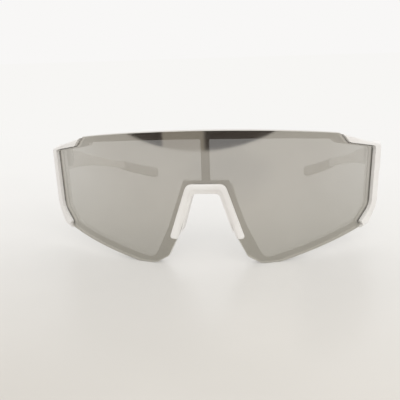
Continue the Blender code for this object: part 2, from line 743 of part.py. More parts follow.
def temple_ring(side, share, thickness, height, radius, inner_extra=0):
    x, y, z = temple_centre(share)
    ring = rect_ring(x - thickness / 2 - inner_extra, x + thickness / 2, z - height / 2, z + height / 2,
                     radius, lambda u, v: (u, y, v))
    return sided(ring, side)


def make_arm(side, name):
    rings = []
    for i in range(TEMPLE_STATIONS + 1):
        share = SLEEVE_START_share * i / TEMPLE_STATIONS
        thickness, height = temple_section(share)
        rings.append(temple_ring(side, share, thickness, height, TEMPLE_RADIUS))
    for share in (SLEEVE_START_share, (SLEEVE_START_share + TANG_END_share) / 2, TANG_END_share):
        rings.append(temple_ring(side, share, TANG_THICKNESS, TANG_HEIGHT, TANG_THICKNESS / 3))
    arm = new_object(name, loft(rings))
    cut(arm, hinge_relief(side))
    cut(arm, leaf_recess(side, 1))
    for y in rivet_places(1):
        cut(arm, rivet_hole(side, y))
    return arm


def make_sleeve(side, name):
    length = TIP_Y - HINGE_Y
    start = SLEEVE_START_share + FIT_GAP / length
    round_start = 1 - SLEEVE_END_LENGTH / length
    pitch = RIB_PITCH / length
    ribs = [RIB_START_share + pitch * i for i in range(RIB_COUNT)]
    plain = [start + (round_start - start) * i / SLEEVE_STATIONS for i in range(SLEEVE_STATIONS + 1)]
    stops = [(share, 0) for share in plain if not ribs[0] - pitch / 2 < share < ribs[-1] + pitch / 2]
    for rib in ribs:
        foot, top = pitch / 4, pitch / 8
        stops += [(rib - foot, 0), (rib - top, 1), (rib + top, 1), (rib + foot, 0)]
    rings = [temple_ring(side, share, SLEEVE_THICKNESS, sleeve_height(share), SLEEVE_RADIUS,
                         RIB_HEIGHT * out) for share, out in sorted(stops)]
    for i in range(1, SLEEVE_END_STATIONS + 1):
        angle = math.pi / 2 * i / SLEEVE_END_STATIONS
        size = max(math.cos(angle), 1 / 4)
        share = round_start + (1 - round_start) * math.sin(angle)
        rings.append(temple_ring(side, share, SLEEVE_THICKNESS * size, sleeve_height(share) * size,
                                 SLEEVE_RADIUS * size))
    bm = loft(rings)
    level = bmesh.ops.bisect_plane(bm, geom=bm.verts[:] + bm.edges[:] + bm.faces[:],
                                   plane_co=(0, 0, 0), plane_no=(0, 0, -1), clear_outer=True)
    rim = [edge for edge in level["geom_cut"] if isinstance(edge, bmesh.types.BMEdge)]
    bmesh.ops.contextual_create(bm, geom=rim)
    bmesh.ops.recalc_face_normals(bm, faces=bm.faces)
    sleeve = new_object(name, bm)
    grow = 2 * FIT_GAP
    mouth = SLEEVE_START_share - OVERRUN / length
    cavity_end = TANG_END_share + FIT_GAP / length
    cavity = loft([temple_ring(side, share, TANG_THICKNESS + grow, TANG_HEIGHT + grow, TANG_THICKNESS / 3)
                   for share in (mouth, SLEEVE_START_share, (SLEEVE_START_share + TANG_END_share) / 2,
                                 cavity_end)])
    cut(sleeve, cavity)
    return sleeve


# Finish and assembly

def material(name):
    colour, roughness, metallic = COLOURS[name]
    found = bpy.data.materials.new(name)
    found.use_nodes = True
    shader = found.node_tree.nodes["Principled BSDF"]
    shader.inputs["Base Color"].default_value = (*colour, 1)
    shader.inputs["Roughness"].default_value = roughness
    shader.inputs["Metallic"].default_value = metallic
    found.diffuse_color = (*colour, 1)
    return found


def finish(thing, name):
    own = material(name)
    own.name = thing.name + "_" + name
    thing.data.materials.clear()
    thing.data.materials.append(own)
    thing.data.shade_smooth()
    thing.data.set_sharp_from_angle(angle=SMOOTH_ANGLE)


def hang_on(thing, pivot):
    """Parents a piece to its hinge's empty without moving it."""
    thing.parent = pivot
    thing.matrix_parent_inverse = pivot.matrix_world.inverted()


def main():
    for thing in list(bpy.data.objects):
        bpy.data.objects.remove(thing)
    finish(make_lens(), "mirror_lens")
    finish(make_frame(), "white_nylon")
    finish(make_clip(), "white_nylon")
    for side, hand in ((1, "left"), (-1, "right")):
        pivot = bpy.data.objects.new("hinge_axis_" + hand, None)
        bpy.context.scene.collection.objects.link(pivot)
        pivot.location = (side * HINGE_X, HINGE_Y, HINGE_Z)
        bpy.context.view_layer.update()
        finish(make_pad(side, "nose_pad_" + hand), "soft_white")
        finish(make_leaf(side, -1, "hinge_front_leaf_" + hand), "steel")
        finish(make_screw(side, "hinge_screw_" + hand), "steel")
        moving = [(make_leaf(side, 1, "hinge_temple_leaf_" + hand), "steel"),
                  (make_arm(side, "temple_arm_" + hand), "white_nylon"),
                  (make_sleeve(side, "temple_sleeve_" + hand), "grey_rubber")]
        for order, y_front, y_back in zip(("a", "b"), rivet_places(-1), rivet_places(1)):
            finish(make_rivet(side, y_front, f"rivet_front_{hand}_{order}"), "steel")
            moving.append((make_rivet(side, y_back, f"rivet_temple_{hand}_{order}"), "steel"))
        for thing, name in moving:
            finish(thing, name)
            hang_on(thing, pivot)


main()
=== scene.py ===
import math

import bmesh
import bpy
from mathutils import Matrix, Vector


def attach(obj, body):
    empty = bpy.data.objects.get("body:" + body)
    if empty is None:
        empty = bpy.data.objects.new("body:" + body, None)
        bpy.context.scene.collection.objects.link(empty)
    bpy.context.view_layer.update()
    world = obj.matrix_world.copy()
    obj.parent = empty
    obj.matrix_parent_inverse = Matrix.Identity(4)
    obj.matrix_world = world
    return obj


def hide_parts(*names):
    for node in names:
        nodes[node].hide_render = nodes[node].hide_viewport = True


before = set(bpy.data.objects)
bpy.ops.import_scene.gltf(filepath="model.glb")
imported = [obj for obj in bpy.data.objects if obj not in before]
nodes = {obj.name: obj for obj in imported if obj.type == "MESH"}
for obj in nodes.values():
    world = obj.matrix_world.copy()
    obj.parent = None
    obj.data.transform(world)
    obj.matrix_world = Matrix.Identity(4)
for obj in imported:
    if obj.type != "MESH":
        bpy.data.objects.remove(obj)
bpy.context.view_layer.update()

MM = 0.001
HANDS = ((1, "left"), (-1, "right"))


# Camera, at the photograph's viewing angle

PICTURE = 400
FOCAL_PIXELS = 571.34
CENTRE_PIXEL = (205.817, 195.75)
CAMERA_PLACE = Vector((24.53, -293.33, 94.66)) * MM
CAMERA_TURN = 0.111734
CAMERA_DIP = 0.285858
CAMERA_ROLL = -0.0360708
CAMERA_NEAREST = 0.01
CAMERA_FARTHEST = 20
SENSOR_WIDTH = 36.0


def add_camera():
    turn = Matrix.Rotation(CAMERA_TURN, 4, "Z")
    dip = Matrix.Rotation(math.pi / 2 - CAMERA_DIP, 4, "X")
    roll = Matrix.Rotation(CAMERA_ROLL, 4, "Z")
    data = bpy.data.cameras.new("camera")
    data.sensor_width = SENSOR_WIDTH
    data.lens = FOCAL_PIXELS / PICTURE * SENSOR_WIDTH
    data.shift_x = (PICTURE / 2 - CENTRE_PIXEL[0]) / PICTURE
    data.shift_y = (CENTRE_PIXEL[1] - PICTURE / 2) / PICTURE
    data.clip_start = CAMERA_NEAREST
    data.clip_end = CAMERA_FARTHEST
    camera = bpy.data.objects.new("camera", data)
    bpy.context.scene.collection.objects.link(camera)
    camera.matrix_world = Matrix.Translation(CAMERA_PLACE) @ turn @ dip @ roll
    bpy.context.scene.camera = camera


# Materials

DARK_SIDE_BAND = "dark_side_band"
# In a colour mix, input 0 is the share, 6 and 7 are the two colours, and output 2 is the result
COLOUR_MIX = {"data_type": "RGBA"}
COLOUR_PRODUCT = {"data_type": "RGBA", "blend_type": "MULTIPLY"}
# In a range, inputs 1 and 2 are the values that come in and 3 and 4 the values that go out
SOFT_RANGE = {"interpolation_type": "SMOOTHSTEP"}
LARGER = {"operation": "MAXIMUM"}
PRODUCT = {"operation": "MULTIPLY"}


def srgb(hex_colour):
    """Linear colour of an sRGB hex value."""
    values = [int(hex_colour[i:i + 2], 16) / 255 for i in (0, 2, 4)]
    linear = [v / 12.92 if v <= 0.04045 else ((v + 0.055) / 1.055) ** 2.4 for v in values]
    return (*linear, 1.0)


def feed(tree, socket, value):
    """Links an output to an input, or sets the input's own value."""
    if isinstance(value, bpy.types.NodeSocket):
        tree.links.new(value, socket)
    else:
        socket.default_value = value


def add_node(tree, kind, settings=None, **inputs):
    """Adds a node. Settings are its own fields. An input is given by its name, or by n and its number."""
    node = tree.nodes.new(kind)
    for field, value in (settings or {}).items():
        setattr(node, field, value)
    for name, value in inputs.items():
        numbered = name[0] == "n" and name[1:].isdigit()
        feed(tree, node.inputs[int(name[1:]) if numbered else name.replace("_", " ")], value)
    return node


def new_material(name):
    material = bpy.data.materials.new(name)
    material.use_nodes = True
    return material, material.node_tree, material.node_tree.nodes["Principled BSDF"]


def connect(tree, shader, **sockets):
    for name, value in sockets.items():
        feed(tree, shader.inputs[name.replace("_", " ")], value)


def ramped(tree, value, stops):
    """A colour that follows a number through stops of number and colour."""
    first, last = stops[0][0], stops[-1][0]
    share = add_node(tree, "ShaderNodeMapRange", Value=value, n1=first, n2=last).outputs["Result"]
    ramp = add_node(tree, "ShaderNodeValToRGB", Fac=share)
    elements = ramp.color_ramp.elements
    while len(elements) < len(stops):
        elements.new(0.5)
    for element, (place, colour) in zip(elements, stops):
        element.position = (place - first) / (last - first)
        element.color = srgb(colour)
    return ramp.outputs["Color"]


def mottled(tree, size, low, high):
    """Soft noise between two colours, in patches of about a real size."""
    place = add_node(tree, "ShaderNodeTexCoord").outputs["Object"]
    noise = add_node(tree, "ShaderNodeTexNoise", Vector=place, Scale=1 / size, Detail=3.0)
    return ramped(tree, noise.outputs["Fac"], ((0.35, low), (0.65, high)))


def varied(tree, size, low, high):
    """Soft noise between two numbers, in patches of about a real size."""
    place = add_node(tree, "ShaderNodeTexCoord").outputs["Object"]
    noise = add_node(tree, "ShaderNodeTexNoise", Vector=place, Scale=1 / size, Detail=2.0)
    return add_node(tree, "ShaderNodeMapRange", Value=noise.outputs["Fac"], n1=0.3, n2=0.7, n3=low,
                    n4=high).outputs["Result"]


def grained(tree, size, depth):
    """Normal of a fine random grain of a real size and depth."""
    place = add_node(tree, "ShaderNodeTexCoord").outputs["Object"]
    noise = add_node(tree, "ShaderNodeTexNoise", Vector=place, Scale=1 / size, Detail=2.0)
    return add_node(tree, "ShaderNodeBump", Height=noise.outputs["Fac"], Distance=depth,
                    Strength=0.5).outputs["Normal"]


def moulded_nylon():
    """Injection moulded white nylon with a satin tool finish: an even soft sheen, barely mottled."""
    flow_cloud = 9 * MM
    sheen_patch = 2.5 * MM
    # A spark-eroded tool leaves a grain near 0.1 mm, drawn at 0.5 mm so that it shows
    tool_grain = 0.5 * MM
    tool_grain_depth = 0.008 * MM
    material, tree, shader = new_material("moulded_white_nylon")
    connect(tree, shader, Base_Color=mottled(tree, flow_cloud, "ECE9E6", "F1EFEC"),
            Roughness=varied(tree, sheen_patch, 0.30, 0.38),
            Normal=grained(tree, tool_grain, tool_grain_depth), IOR=1.53)
    return material


def soft_elastomer():
    """Moulded white thermoplastic rubber: matt, slightly cloudy, light passes a little way in."""
    flow_cloud = 5 * MM
    sheen_patch = 1.5 * MM
    light_reach = 1.2 * MM
    # A blasted tool leaves a grain near 0.05 mm, drawn at 0.4 mm so that it shows
    tool_grain = 0.4 * MM
    tool_grain_depth = 0.01 * MM
    material, tree, shader = new_material("moulded_white_rubber")
    connect(tree, shader, Base_Color=mottled(tree, flow_cloud, "E4E2DE", "EAE8E4"),
            Roughness=varied(tree, sheen_patch, 0.52, 0.64), Subsurface_Weight=0.15,
            Subsurface_Scale=light_reach, Normal=grained(tree, tool_grain, tool_grain_depth), IOR=1.46)
    return material


def grey_rubber():
    """Moulded grey rubber with a powdery bloom: matt, a little paler in patches."""
    bloom_patch = 4 * MM
    sheen_patch = 1.2 * MM
    # A blasted tool leaves a grain near 0.05 mm, drawn at 0.35 mm so that it shows
    tool_grain = 0.35 * MM
    tool_grain_depth = 0.015 * MM
    material, tree, shader = new_material("moulded_grey_rubber")
    connect(tree, shader, Base_Color=mottled(tree, bloom_patch, "B4B4B3", "BDBDBB"),
            Roughness=varied(tree, sheen_patch, 0.62, 0.78),
            Normal=grained(tree, tool_grain, tool_grain_depth), IOR=1.5)
    return material


def mirror_coat():
    """Silver flash coat on tinted polycarbonate: a warm mirror that lets some light through.

    A dark band runs along the sides, and the coat fades into it.
    """
    coat_cloud = 30 * MM
    sheen_patch = 12 * MM
    # Painted shade: the coat is painted darker at the foot of the sheet, where the lens mirrors the
    # table's shaded near part. Stops in metres above the table
    coat_foot_painted_shade = ((0, "CFCBC0"), (0.015, "D4D0C6"), (0.034, "DEDAD2"), (0.056, "DEDAD2"))
    material, tree, shader = new_material("silver_flash_coated_polycarbonate")
    margin = add_node(tree, "ShaderNodeAttribute", {"attribute_name": DARK_SIDE_BAND}).outputs["Fac"]
    place = add_node(tree, "ShaderNodeTexCoord").outputs["Object"]
    height = add_node(tree, "ShaderNodeSeparateXYZ", Vector=place).outputs["Z"]
    # The coat's colour takes the painted shade at its foot
    coat = add_node(tree, "ShaderNodeMix", COLOUR_PRODUCT, n0=1.0, n6=ramped(tree, height, coat_foot_painted_shade),
                    n7=mottled(tree, coat_cloud, "FCFCFC", "FFFFFF")).outputs[2]
    colour = add_node(tree, "ShaderNodeMix", COLOUR_MIX, n0=margin, n6=coat, n7=srgb("63625F"))
    alpha = add_node(tree, "ShaderNodeMapRange", Value=margin, n3=0.6, n4=0.95)
    connect(tree, shader, Base_Color=colour.outputs[2], Metallic=1.0,
            Roughness=varied(tree, sheen_patch, 0.035, 0.06), Alpha=alpha.outputs["Result"])
    return material


def tinted_polycarbonate():
    """Grey tinted polycarbonate as moulded, the lens's bare rear: dark, clear and glossy."""
    tint_cloud = 20 * MM
    sheen_patch = 10 * MM
    material, tree, shader = new_material("tinted_polycarbonate")
    connect(tree, shader, Base_Color=mottled(tree, tint_cloud, "26272A", "2B2B2D"),
            Roughness=varied(tree, sheen_patch, 0.04, 0.07), IOR=1.585, Alpha=0.62)
    return material


def lens_edge():
    """Machined edge of the lens, satin: painted pale, a painted glow for the light that leaks out along
    the tinted sheet.
    """
    cutter_patch = 1.5 * MM
    sheen_patch = 1 * MM
    material, tree, shader = new_material("machined_lens_edge")
    connect(tree, shader, Base_Color=mottled(tree, cutter_patch, "CAC8C3", "D3D1CC"),
            Roughness=varied(tree, sheen_patch, 0.28, 0.42), IOR=1.585)
    return material


def stamped_steel():
    """Stainless strip, stamped and tumbled: bright with fine scuffs."""
    dull_patch = 1.5 * MM
    sheen_patch = 0.6 * MM
    # Tumbling leaves scuffs near 0.05 mm, drawn at 0.3 mm so that they show
    scuff = 0.3 * MM
    scuff_depth = 0.006 * MM
    material, tree, shader = new_material("tumbled_stainless_steel")
    connect(tree, shader, Base_Color=mottled(tree, dull_patch, "BDBCBA", "CBCAC8"),
            Metallic=1.0, Roughness=varied(tree, sheen_patch, 0.24, 0.38),
            Normal=grained(tree, scuff, scuff_depth))
    return material


def turned_steel():
    """Turned stainless screw stock: a finer, brighter finish than the stamped leaves."""
    dull_patch = 0.8 * MM
    sheen_patch = 0.4 * MM
    material, tree, shader = new_material("turned_stainless_steel")
    connect(tree, shader, Base_Color=mottled(tree, dull_patch, "C6C5C3", "D2D1CF"),
            Metallic=1.0, Roughness=varied(tree, sheen_patch, 0.16, 0.26))
    return material


# Meshes

MERGE = 0.001 * MM
# How far a normal points along an axis, at least, on a face that lies square to it
SQUARE_ON = 0.99
SOFT_SHARP = math.radians(50)


def cut(bm, place, normal):
    """Scores a plane into a mesh and takes nothing away."""
    bmesh.ops.bisect_plane(bm, geom=bm.verts[:] + bm.edges[:] + bm.faces[:], dist=MERGE,
                           plane_co=place, plane_no=normal)


def cut_stations(bm, axis, low, high, step):
    """Cuts a straight form into stations along one axis."""
    normal = Vector([float(i == axis) for i in range(3)])
    count = max(1, round((high - low) / step))
    for i in range(1, count):
        cut(bm, normal * (low + (high - low) * i / count), normal)


def rounded(bm, edges, radius, steps):
    bmesh.ops.bevel(bm, geom=edges, offset=radius, segments=steps, profile=0.5, affect="EDGES",
                    material=-1)


def sunk(bm, faces, depth):
    """Pushes faces into a form along z, to make a blind slot or hole."""
    pushed = bmesh.ops.extrude_discrete_faces(bm, faces=faces)["faces"]
    bmesh.ops.translate(bm, vec=(0, 0, depth), verts=[v for face in pushed for v in face.verts])


def faced_outwards(bm):
    bmesh.ops.recalc_face_normals(bm, faces=bm.faces)
    if bm.calc_volume(signed=True) < 0:
        bmesh.ops.reverse_faces(bm, faces=bm.faces)


def new_piece(name, bm, materials, sharp_angle):
    """An object of a mesh that is shaded round, with sharp edges past an angle."""
    bm.normal_update()
    for face in bm.faces:
        face.smooth = True
    for edge in bm.edges:
        edge.smooth = edge.calc_face_angle(0) < sharp_angle
    mesh = bpy.data.meshes.new(name)
    bm.to_mesh(mesh)
    bm.free()
    for material in materials:
        mesh.materials.append(material)
    piece = bpy.data.objects.new(name, mesh)
    bpy.context.scene.collection.objects.link(piece)
    return piece


def weighted_normals(piece):
    """Large faces keep their own shading, and the small ones between them take up the turn."""
    step = piece.modifiers.new("weighted_normals", "WEIGHTED_NORMAL")
    step.keep_sharp = True
    step.mode = "FACE_AREA_WITH_ANGLE"


# Wrapped pieces: a CAD node is laid flat, given finer stations and wrapped again

WRAP_RADIUS = 99.0 * MM
LEAN = math.radians(1.5)
FRONT_Y = min(vert.co.y - math.tan(LEAN) * vert.co.z for vert in nodes["lens_shield"].data.vertices)
STATION = 1.0 * MM
FRAME_REACH = 76 * MM
CLIP_REACH = 30 * MM
# Faces that turn less than this are one face
LEVEL_FLATNESS = math.radians(0.5)
MOULDED_FLATNESS = math.radians(1.5)


def laid_flat(point):
    """Width along the wrap, depth behind the lens's face and height of a point of the wrapped front."""
    ahead = FRONT_Y + WRAP_RADIUS + math.tan(LEAN) * point.z - point.y
    angle = math.atan2(point.x, ahead)
    return Vector((angle * WRAP_RADIUS, WRAP_RADIUS - math.hypot(point.x, ahead), point.z))


def wrapped(point):
    """Where a point of the flat front lies on the lens cylinder."""
    angle = point.x / WRAP_RADIUS
    radius = WRAP_RADIUS - point.y
    lean = math.tan(LEAN) * point.z
    return Vector((radius * math.sin(angle), FRONT_Y + WRAP_RADIUS - radius * math.cos(angle) + lean,
                   point.z))


def snapped(value, levels):
    """The nearest of some levels, if it is within the merge distance."""
    level = min(levels, key=lambda known: abs(known - value))
    return level if abs(level - value) < MERGE else value


def finer(node, reach, levels=()):
    """A merged flat copy of a wrapped node with a station every millimetre out to a width."""
    bm = bmesh.new()
    bm.from_mesh(nodes[node].data)
    bmesh.ops.remove_doubles(bm, verts=bm.verts, dist=MERGE)
    for vert in bm.verts:
        vert.co = laid_flat(vert.co)
        if levels:
            vert.co.y = snapped(vert.co.y, levels)
    flatness = LEVEL_FLATNESS if levels else MOULDED_FLATNESS
    bmesh.ops.dissolve_limit(bm, angle_limit=flatness, verts=bm.verts, edges=bm.edges)
    count = int(reach / STATION)
    for i in range(-count, count + 1):
        cut(bm, (STATION * i, 0, 0), (1, 0, 0))
    return bm


def make_wrapped_piece(name, node, reach, material):
    bm = finer(node, reach)
    for vert in bm.verts:
        vert.co = wrapped(vert.co)
    piece = new_piece(name, bm, [material], SOFT_SHARP)
    weighted_normals(piece)
    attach(piece, "front")
    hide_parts(node)


# Lens

LENS_THICKNESS = 1.8 * MM
LENS_CHAMFER = 0.25 * MM
LENS_LEVELS = (0, LENS_CHAMFER, LENS_THICKNESS - LENS_CHAMFER, LENS_THICKNESS)
LENS_REACH = 78 * MM
LENS_SHARP = math.radians(30)
# How far a normal points along the depth, at least, on the lens's front and rear
LENS_FACING = 0.9
COAT_SLOT, REAR_SLOT, EDGE_SLOT = range(3)
# The right side edge laid flat, down from the temple corner: across and up, at the two kinks
SIDE_EDGE = tuple(Vector(corner) * MM for corner in ((77.8, 43.43), (76.4, 17.6), (69.63, 11.34)))
# The dark side band is dark out to the first distance from the edge and gone at the second
MARGIN_DARK = 0.5 * MM
MARGIN_END = 2.0 * MM
MARGIN_LINES = (0.5 * MM, 1.0 * MM, 1.5 * MM, 2.0 * MM)


def side_distance(across, up):
    """How far a point of the flat lens lies from its side edges."""
    point = Vector((abs(across), up))
    best = LENS_REACH
    for first, second in zip(SIDE_EDGE, SIDE_EDGE[1:]):
        along = second - first
        share = max(0, min(1, (point - first).dot(along) / along.length_squared))
        best = min(best, (point - first - along * share).length)
    return best


def score_margins(bm):
    """Lines beside the side edges, so that the coat's margin fades between them."""
    for side in (-1, 1):
        for first, second in zip(SIDE_EDGE, SIDE_EDGE[1:]):
            along = (second - first).normalized()
            inward = Vector((side * along.y, 0, -along.x))
            for line in MARGIN_LINES:
                cut(bm, Vector((side * first.x, 0, first.y)) + inward * line, inward)


def cylinder_normals(mesh):
    """Gives the lens's two faces the true normals of its cylinder, so that it mirrors cleanly."""
    normals = []
    for polygon in mesh.polygons:
        for loop in polygon.loop_indices:
            point = mesh.vertices[mesh.loops[loop].vertex_index].co
            angle = laid_flat(point).x / WRAP_RADIUS
            outward = Vector((math.sin(angle), -math.cos(angle), math.cos(angle) * math.tan(LEAN)))
            if polygon.material_index == EDGE_SLOT:
                outward = polygon.normal
            elif polygon.material_index == REAR_SLOT:
                outward = -outward
            normals.append(outward.normalized())
    mesh.normals_split_custom_set(normals)


def make_lens(coat, rear, edge):
    """The lens sheet: a mirror coat in front, the bare tinted sheet behind and a machined edge."""
    bm = finer("lens_shield", LENS_REACH, LENS_LEVELS)
    bm.normal_update()
    for face in bm.faces:
        if abs(face.normal.y) < LENS_FACING:
            face.material_index = EDGE_SLOT
        elif face.calc_center_median().y > LENS_THICKNESS / 2:
            face.material_index = REAR_SLOT
        else:
            face.material_index = COAT_SLOT
    score_margins(bm)
    margin = bm.verts.layers.float.new(DARK_SIDE_BAND)
    for vert in bm.verts:
        distance = side_distance(vert.co.x, vert.co.z)
        vert[margin] = max(0, min(1, (MARGIN_END - distance) / (MARGIN_END - MARGIN_DARK)))
        vert.co = wrapped(vert.co)
    lens = new_piece("mirror_lens", bm, [coat, rear, edge], LENS_SHARP)
    cylinder_normals(lens.data)
    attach(lens, "front")
    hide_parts("lens_shield")


# Nose pads, each shaped straight and then laid along the clip's leg

PAD_FOOT = Vector((15.81, 0)) * MM
PAD_LEAN = math.radians(17.43)
PAD_LOW = 14.19 * MM
PAD_LENGTH = 17.14 * MM
PAD_FRONT = 6.4 * MM
PAD_DEPTH = 9.6 * MM
PAD_THICKNESS = 3.8 * MM
PAD_REAR_THICKNESS = 2.3 * MM
PAD_OFFSET = 1.3 * MM
PAD_FLARE = 2.8 * MM
PAD_CROWN = 0.35 * MM
PAD_RIM = 0.65 * MM
PAD_RIM_STEPS = 4
PAD_END_RADIUS = 1.7 * MM
PAD_END_STEPS = 6
PAD_STATION = 1.0 * MM
SLOT_LOW = 4.0 * MM
SLOT_HIGH = 13.8 * MM
SLOT_WALL = 1.0 * MM
SLOT_DEPTH = 5.9 * MM


def straight_pad():
    """A pad laid straight: across in x, along in y and back in z, with the clip tongue's slot in front."""
    bm = bmesh.new()
    bmesh.ops.create_cube(bm, size=1)
    for vert in bm.verts:
        vert.co = Vector((vert.co.x * PAD_THICKNESS, (vert.co.y + 0.5) * PAD_LENGTH,
                          (vert.co.z + 0.5) * PAD_DEPTH))
    ends = [e for e in bm.edges if abs(e.verts[0].co.z - e.verts[1].co.z) > MERGE]
    rounded(bm, ends, PAD_END_RADIUS, PAD_END_STEPS)
    rims = [e for e in bm.edges if abs(e.verts[0].co.z - e.verts[1].co.z) < MERGE]
    rounded(bm, rims, PAD_RIM, PAD_RIM_STEPS)
    bm.normal_update()
    front = [face for face in bm.faces if face.normal.z < -SQUARE_ON]
    bmesh.ops.inset_region(bm, faces=front, thickness=SLOT_WALL - PAD_RIM)
    for face in front:
        low = min(vert.co.y for vert in face.verts)
        high = max(vert.co.y for vert in face.verts)
        for vert in face.verts:
            share = (vert.co.y - low) / (high - low)
            vert.co.y = SLOT_LOW + (SLOT_HIGH - SLOT_LOW) * share
    sunk(bm, front, SLOT_DEPTH)
    cut_stations(bm, 1, 0, PAD_LENGTH, PAD_STATION)
    cut_stations(bm, 2, 0, PAD_DEPTH, PAD_STATION)
    return bm


def pad_place(side, point):
    """Where a point of the straight pad lies.

    The pad flares and thins towards the face, and its nose side is crowned.
    """
    share = point.z / PAD_DEPTH
    core = PAD_THICKNESS / 2 - SLOT_WALL
    thick = PAD_THICKNESS + (PAD_REAR_THICKNESS - PAD_THICKNESS) * share
    past = max(0, abs(point.x) - core) / SLOT_WALL
    across = math.copysign(min(abs(point.x), core) + past * (thick / 2 - core), point.x)
    if point.x < 0:
        end = max(abs(2 * point.y / PAD_LENGTH - 1), abs(2 * share - 1))
        across += PAD_CROWN * past * end**2
    across += PAD_OFFSET + PAD_FLARE * share
    up = PAD_LOW + point.y
    flat_x = PAD_FOOT.x - up * math.sin(PAD_LEAN) + across * math.cos(PAD_LEAN)
    height = up * math.cos(PAD_LEAN) + across * math.sin(PAD_LEAN)
    return wrapped(Vector((side * flat_x, PAD_FRONT + point.z, height)))


def make_pad(side, hand, material):
    bm = straight_pad()
    for vert in bm.verts:
        vert.co = pad_place(side, vert.co)
    faced_outwards(bm)
    pad = new_piece("soft_nose_pad_" + hand, bm, [material], SOFT_SHARP)
    weighted_normals(pad)
    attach(pad, "front")
    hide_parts("nose_pad_" + hand)


# Sleeves, each shaped as a straight rod and then laid along the arm's end

# The left sleeve's middle line is a curve through a start, drawn by a corner, to an end
SLEEVE_LINE = (Vector((61.35, 32.33, 17.83)) * MM,
               Vector((55.95, 54.165, 9.05)) * MM,
               Vector((49.5, 76.0, 2.1)) * MM)
SLEEVE_LENGTH = 43.67 * MM
SLEEVE_THICKNESS = 4.0 * MM
SLEEVE_HEIGHTS = (5.4 * MM, 7.0 * MM)
SLEEVE_SQUARENESS = 2.8
SLEEVE_CAP = 3.4 * MM
SLEEVE_TIP_SHARE = 0.25
SLEEVE_RIM = 0.35 * MM
SLEEVE_RIM_STEPS = 3
SLEEVE_ROD = 2.5 * MM
SLEEVE_SIDES = 32
SLEEVE_STATION = 1.5 * MM
CAP_STATION = 0.4 * MM
TANG_HOLE = (2.2 * MM, 3.2 * MM)
TANG_HOLE_SQUARENESS = 4.0
TANG_DEPTH = 22.0 * MM
# The hole's wall lies at half the rod's radius, and the rod's own skin and rim lie past this share of it
SKIN_SHARE = 0.6
RIB_FIRST = 6.29 * MM
RIB_PITCH = 2.996 * MM
RIB_HALF = 0.75 * MM
RIB_HEIGHT = 0.45 * MM
RIB_COUNT = 7
RIB_STATION = 0.25 * MM


def straight_sleeve():
    """A round rod along z with the arm's tang hole in its front end, cut into stations."""
    bm = bmesh.new()
    bmesh.ops.create_cone(bm, cap_ends=True, segments=SLEEVE_SIDES, radius1=SLEEVE_ROD,
                          radius2=SLEEVE_ROD, depth=SLEEVE_LENGTH)
    bmesh.ops.translate(bm, vec=(0, 0, SLEEVE_LENGTH / 2), verts=bm.verts)
    rim = [e for e in bm.edges if all(vert.co.z < MERGE for vert in e.verts)]
    rounded(bm, rim, SLEEVE_RIM, SLEEVE_RIM_STEPS)
    bm.normal_update()
    front = [face for face in bm.faces if face.normal.z < -SQUARE_ON]
    bmesh.ops.inset_region(bm, faces=front, thickness=SLEEVE_ROD / 2 - SLEEVE_RIM)
    sunk(bm, front, TANG_DEPTH)
    ribs_start = RIB_FIRST - RIB_HALF
    ribs_end = RIB_FIRST + RIB_PITCH * (RIB_COUNT - 1) + RIB_HALF
    cut_stations(bm, 2, 0, SLEEVE_LENGTH, SLEEVE_STATION)
    cut_stations(bm, 2, ribs_start, ribs_end, RIB_STATION)
    cut_stations(bm, 2, SLEEVE_LENGTH - SLEEVE_CAP, SLEEVE_LENGTH, CAP_STATION)
    return bm


def rounded_section(direction, width, height, squareness):
    """The point of a rounded oblong section in a direction."""
    across, up = abs(direction.x) / width * 2, abs(direction.y) / height * 2
    return direction / (across**squareness + up**squareness) ** (1 / squareness)


def rib_rise(along, direction):
    """How far the ribs stand out at a point of the sleeve, on the side that grips the head."""
    order = max(0, min(RIB_COUNT - 1, round((along - RIB_FIRST) / RIB_PITCH)))
    away = abs(along - RIB_FIRST - RIB_PITCH * order)
    swell = math.cos(math.pi / 2 * min(1, away / RIB_HALF)) ** 2
    return RIB_HEIGHT * swell * max(0, -direction.x) ** 0.5


def sleeve_place(side, point):
    """Where a point of the straight rod lies: an oblong section along the line, rounded off at its end."""
    along = point.z
    share = along / SLEEVE_LENGTH
    first, middle, last = SLEEVE_LINE
    centre = first.lerp(middle, share).lerp(middle.lerp(last, share), share)
    direction = Vector((point.x, point.y))
    reach = direction.length / SLEEVE_ROD
    direction.normalize()
    if reach < SKIN_SHARE:
        section = rounded_section(direction, *TANG_HOLE, TANG_HOLE_SQUARENESS)
    else:
        cap = max(0, along - SLEEVE_LENGTH + SLEEVE_CAP) / SLEEVE_CAP
        size = max(SLEEVE_TIP_SHARE, math.sqrt(max(0, 1 - cap**2)))
        height = SLEEVE_HEIGHTS[0] + (SLEEVE_HEIGHTS[1] - SLEEVE_HEIGHTS[0]) * share
        section = rounded_section(direction, SLEEVE_THICKNESS * size, height * size, SLEEVE_SQUARENESS)
        section *= reach
        section.x -= rib_rise(along, direction)
    # It rests on the table, so its underside is flat there
    height_above = max(0, centre.z + section.y)
    return Vector((side * (centre.x + section.x), centre.y, height_above))


def make_sleeve(side, hand, material):
    bm = straight_sleeve()
    for vert in bm.verts:
        vert.co = sleeve_place(side, vert.co)
    faced_outwards(bm)
    sleeve = new_piece("rubber_sleeve_" + hand, bm, [material], SOFT_SHARP)
    weighted_normals(sleeve)
    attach(sleeve, "temple_" + hand)
    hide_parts("temple_sleeve_" + hand)


# Arms, hinges and rivets

COPY_SHARP = math.radians(42)


